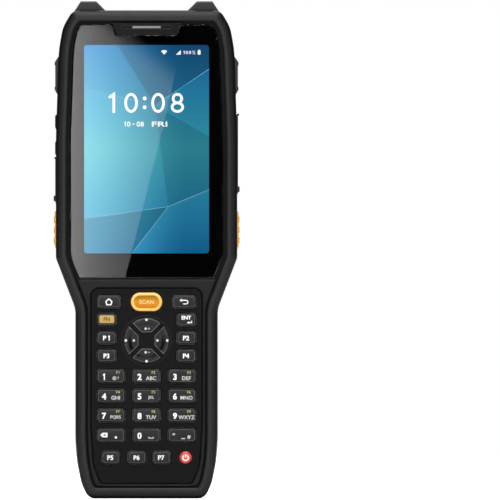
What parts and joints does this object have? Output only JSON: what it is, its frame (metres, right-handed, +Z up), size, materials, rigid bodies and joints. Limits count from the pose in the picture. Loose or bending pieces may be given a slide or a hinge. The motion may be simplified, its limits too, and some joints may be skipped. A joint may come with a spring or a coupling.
{
  "type": "barcode data terminal",
  "caption": "Rugged hand-held barcode data terminal with a touch screen over a keypad, sprung side triggers, rubber port covers and a battery pack that tilts out of its back.",
  "frame": {"origin": "centre of the bounding box in plan, on the plane that the terminal's bottom end stands on", "axes": "+X to the right of someone who reads the screen, +Y out of the terminal's back, +Z up its length towards the scan window"},
  "size_m": [0.0772, 0.03, 0.2062],
  "materials": {
    "housing": "fine moulded texture, satin",
    "bumper": "matt moulded rubber",
    "cover_rubber": "matt moulded rubber",
    "glass": "clear polished",
    "display": "flat panel",
    "bezel": "satin",
    "mesh": "woven mesh",
    "plate": "satin",
    "key_grey": "satin",
    "key_orange": "satin",
    "key_amber": "satin",
    "key_red": "satin",
    "membrane": "translucent silicone",
    "board": "solder mask",
    "metal": "pressed",
    "socket": "stamped",
    "scan_glass": "clear polished",
    "back_glass": "polished",
    "lens": "polished",
    "flash": "frosted",
    "door": "fine moulded texture, satin",
    "cell": "shrink wrap",
    "screw": "blackened"
  },
  "bodies": {
    "terminal": {"front_housing": "housing", "rear_housing": "housing", "horn_bumpers": "bumper", "side_bumpers": "bumper", "screen_glass": "glass", "display_module": "display", "earpiece_bezel": "bezel", "earpiece_mesh": "mesh", "keypad_plate": "plate", "keypad_membrane": "membrane", "keypad_board": "board", "chassis_frame": "metal", "main_board": "board", "connectors": "socket", "scan_window": "scan_glass", "scan_engine": "bezel", "back_window": "back_glass", "camera_module": "lens", "flash_lens": "flash", "speaker_plate": "housing", "speaker_unit": "bezel", "housing_screws": "screw"},
    "battery": {"battery_door": "door", "battery_cell": "cell"},
    "key_home_body": {"key_home": "key_grey"},
    "key_back_body": {"key_back": "key_grey"},
    "key_enter_body": {"key_enter": "key_grey"},
    "key_p1_body": {"key_p1": "key_grey"},
    "key_p2_body": {"key_p2": "key_grey"},
    "key_p3_body": {"key_p3": "key_grey"},
    "key_p4_body": {"key_p4": "key_grey"},
    "key_p5_body": {"key_p5": "key_grey"},
    "key_p6_body": {"key_p6": "key_grey"},
    "key_p7_body": {"key_p7": "key_grey"},
    "key_1_body": {"key_1": "key_grey"},
    "key_2_body": {"key_2": "key_grey"},
    "key_3_body": {"key_3": "key_grey"},
    "key_4_body": {"key_4": "key_grey"},
    "key_5_body": {"key_5": "key_grey"},
    "key_6_body": {"key_6": "key_grey"},
    "key_7_body": {"key_7": "key_grey"},
    "key_8_body": {"key_8": "key_grey"},
    "key_9_body": {"key_9": "key_grey"},
    "key_backspace_body": {"key_backspace": "key_grey"},
    "key_0_body": {"key_0": "key_grey"},
    "key_star_body": {"key_star": "key_grey"},
    "key_scan_body": {"key_scan": "key_orange"},
    "key_fn_body": {"key_fn": "key_amber"},
    "key_power_body": {"key_power": "key_red"},
    "dpad_up_body": {"dpad_up": "key_grey"},
    "dpad_left_body": {"dpad_left": "key_grey"},
    "dpad_down_body": {"dpad_down": "key_grey"},
    "dpad_right_body": {"dpad_right": "key_grey"},
    "scan_key_left_body": {"scan_key_left": "key_orange"},
    "scan_key_right_body": {"scan_key_right": "key_orange"},
    "rocker": {"volume_rocker": "plate"},
    "cover_left": {"port_cover_left": "cover_rubber"},
    "cover_right": {"port_cover_right": "cover_rubber"},
    "latch_right_body": {"latch_right": "bumper"},
    "latch_left_body": {"latch_left": "bumper"}
  },
  "joints": [
    {"name": "key_home_press", "type": "slide", "parent": "terminal", "child": "key_home_body", "axis": [0, 1, 0], "range_m": [0, 0.0006], "stiffness_N_per_m": 300},
    {"name": "key_back_press", "type": "slide", "parent": "terminal", "child": "key_back_body", "axis": [0, 1, 0], "range_m": [0, 0.0006], "stiffness_N_per_m": 300},
    {"name": "key_enter_press", "type": "slide", "parent": "terminal", "child": "key_enter_body", "axis": [0, 1, 0], "range_m": [0, 0.0006], "stiffness_N_per_m": 300},
    {"name": "key_p1_press", "type": "slide", "parent": "terminal", "child": "key_p1_body", "axis": [0, 1, 0], "range_m": [0, 0.0006], "stiffness_N_per_m": 300},
    {"name": "key_p2_press", "type": "slide", "parent": "terminal", "child": "key_p2_body", "axis": [0, 1, 0], "range_m": [0, 0.0006], "stiffness_N_per_m": 300},
    {"name": "key_p3_press", "type": "slide", "parent": "terminal", "child": "key_p3_body", "axis": [0, 1, 0], "range_m": [0, 0.0006], "stiffness_N_per_m": 300},
    {"name": "key_p4_press", "type": "slide", "parent": "terminal", "child": "key_p4_body", "axis": [0, 1, 0], "range_m": [0, 0.0006], "stiffness_N_per_m": 300},
    {"name": "key_p5_press", "type": "slide", "parent": "terminal", "child": "key_p5_body", "axis": [0, 1, 0], "range_m": [0, 0.0006], "stiffness_N_per_m": 300},
    {"name": "key_p6_press", "type": "slide", "parent": "terminal", "child": "key_p6_body", "axis": [0, 1, 0], "range_m": [0, 0.0006], "stiffness_N_per_m": 300},
    {"name": "key_p7_press", "type": "slide", "parent": "terminal", "child": "key_p7_body", "axis": [0, 1, 0], "range_m": [0, 0.0006], "stiffness_N_per_m": 300},
    {"name": "key_1_press", "type": "slide", "parent": "terminal", "child": "key_1_body", "axis": [0, 1, 0], "range_m": [0, 0.0006], "stiffness_N_per_m": 300},
    {"name": "key_2_press", "type": "slide", "parent": "terminal", "child": "key_2_body", "axis": [0, 1, 0], "range_m": [0, 0.0006], "stiffness_N_per_m": 300},
    {"name": "key_3_press", "type": "slide", "parent": "terminal", "child": "key_3_body", "axis": [0, 1, 0], "range_m": [0, 0.0006], "stiffness_N_per_m": 300},
    {"name": "key_4_press", "type": "slide", "parent": "terminal", "child": "key_4_body", "axis": [0, 1, 0], "range_m": [0, 0.0006], "stiffness_N_per_m": 300},
    {"name": "key_5_press", "type": "slide", "parent": "terminal", "child": "key_5_body", "axis": [0, 1, 0], "range_m": [0, 0.0006], "stiffness_N_per_m": 300},
    {"name": "key_6_press", "type": "slide", "parent": "terminal", "child": "key_6_body", "axis": [0, 1, 0], "range_m": [0, 0.0006], "stiffness_N_per_m": 300},
    {"name": "key_7_press", "type": "slide", "parent": "terminal", "child": "key_7_body", "axis": [0, 1, 0], "range_m": [0, 0.0006], "stiffness_N_per_m": 300},
    {"name": "key_8_press", "type": "slide", "parent": "terminal", "child": "key_8_body", "axis": [0, 1, 0], "range_m": [0, 0.0006], "stiffness_N_per_m": 300},
    {"name": "key_9_press", "type": "slide", "parent": "terminal", "child": "key_9_body", "axis": [0, 1, 0], "range_m": [0, 0.0006], "stiffness_N_per_m": 300},
    {"name": "key_backspace_press", "type": "slide", "parent": "terminal", "child": "key_backspace_body", "axis": [0, 1, 0], "range_m": [0, 0.0006], "stiffness_N_per_m": 300},
    {"name": "key_0_press", "type": "slide", "parent": "terminal", "child": "key_0_body", "axis": [0, 1, 0], "range_m": [0, 0.0006], "stiffness_N_per_m": 300},
    {"name": "key_star_press", "type": "slide", "parent": "terminal", "child": "key_star_body", "axis": [0, 1, 0], "range_m": [0, 0.0006], "stiffness_N_per_m": 300},
    {"name": "key_scan_press", "type": "slide", "parent": "terminal", "child": "key_scan_body", "axis": [0, 1, 0], "range_m": [0, 0.0006], "stiffness_N_per_m": 300},
    {"name": "key_fn_press", "type": "slide", "parent": "terminal", "child": "key_fn_body", "axis": [0, 1, 0], "range_m": [0, 0.0006], "stiffness_N_per_m": 300},
    {"name": "key_power_press", "type": "slide", "parent": "terminal", "child": "key_power_body", "axis": [0, 1, 0], "range_m": [0, 0.0006], "stiffness_N_per_m": 300},
    {"name": "dpad_up_press", "type": "slide", "parent": "terminal", "child": "dpad_up_body", "axis": [0, 1, 0], "range_m": [0, 0.0006], "stiffness_N_per_m": 300},
    {"name": "dpad_left_press", "type": "slide", "parent": "terminal", "child": "dpad_left_body", "axis": [0, 1, 0], "range_m": [0, 0.0006], "stiffness_N_per_m": 300},
    {"name": "dpad_down_press", "type": "slide", "parent": "terminal", "child": "dpad_down_body", "axis": [0, 1, 0], "range_m": [0, 0.0006], "stiffness_N_per_m": 300},
    {"name": "dpad_right_press", "type": "slide", "parent": "terminal", "child": "dpad_right_body", "axis": [0, 1, 0], "range_m": [0, 0.0006], "stiffness_N_per_m": 300},
    {"name": "scan_key_left_press", "type": "slide", "parent": "terminal", "child": "scan_key_left_body", "axis": [1, 0, 0], "range_m": [0, 0.0006], "stiffness_N_per_m": 400},
    {"name": "scan_key_right_press", "type": "slide", "parent": "terminal", "child": "scan_key_right_body", "axis": [-1, 0, 0], "range_m": [0, 0.0006], "stiffness_N_per_m": 400},
    {"name": "volume_rock", "type": "hinge", "parent": "terminal", "child": "rocker", "pos_m": [-0.036, -0.0048, 0.15075], "axis": [0, 1, 0], "range_deg": [-2.5, 2.5], "stiffness_Nm_per_rad": 0.05},
    {"name": "cover_left_hinge", "type": "hinge", "parent": "terminal", "child": "cover_left", "pos_m": [-0.03795, -0.0048, 0.1412], "axis": [0, 1, 0], "range_deg": [0, 110]},
    {"name": "cover_right_hinge", "type": "hinge", "parent": "terminal", "child": "cover_right", "pos_m": [0.03795, -0.0048, 0.1592], "axis": [0, -1, 0], "range_deg": [0, 110]},
    {"name": "latch_right_slide", "type": "slide", "parent": "terminal", "child": "latch_right_body", "axis": [0, 0, 1], "range_m": [0, 0.008], "stiffness_N_per_m": 60},
    {"name": "latch_left_slide", "type": "slide", "parent": "terminal", "child": "latch_left_body", "axis": [0, 0, 1], "range_m": [0, 0.008], "stiffness_N_per_m": 60},
    {"name": "battery_tilt", "type": "hinge", "parent": "terminal", "child": "battery", "pos_m": [0, 0.0134, 0.0978], "axis": [1, 0, 0], "range_deg": [0, 40]}
  ]
}
